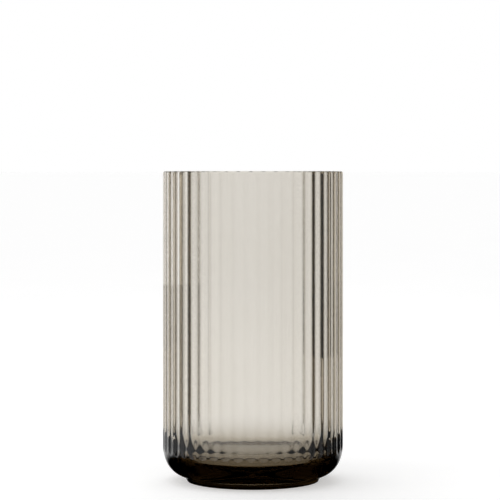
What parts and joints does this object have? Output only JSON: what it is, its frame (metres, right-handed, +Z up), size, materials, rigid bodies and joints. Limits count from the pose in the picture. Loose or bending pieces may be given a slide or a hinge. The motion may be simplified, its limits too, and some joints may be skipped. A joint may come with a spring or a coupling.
{
  "type": "glass cylinder vase",
  "caption": "Tall cylindrical glass vase with fine vertical flutes outside, a smooth inside, a thick rounded heel and a low round foot.",
  "frame": {"origin": "on the table under the centre of the foot", "axes": "+Z up along the vase's axis, out of the mouth; -Y is the front"},
  "size_m": [0.146, 0.1458, 0.25],
  "materials": {
    "glass": "clear polished glass, smoke grey through its whole thickness"
  },
  "bodies": {
    "root": {"foot": "glass", "heavy_base": "glass", "fluted_wall": "glass", "lip": "glass"}
  },
  "joints": []
}
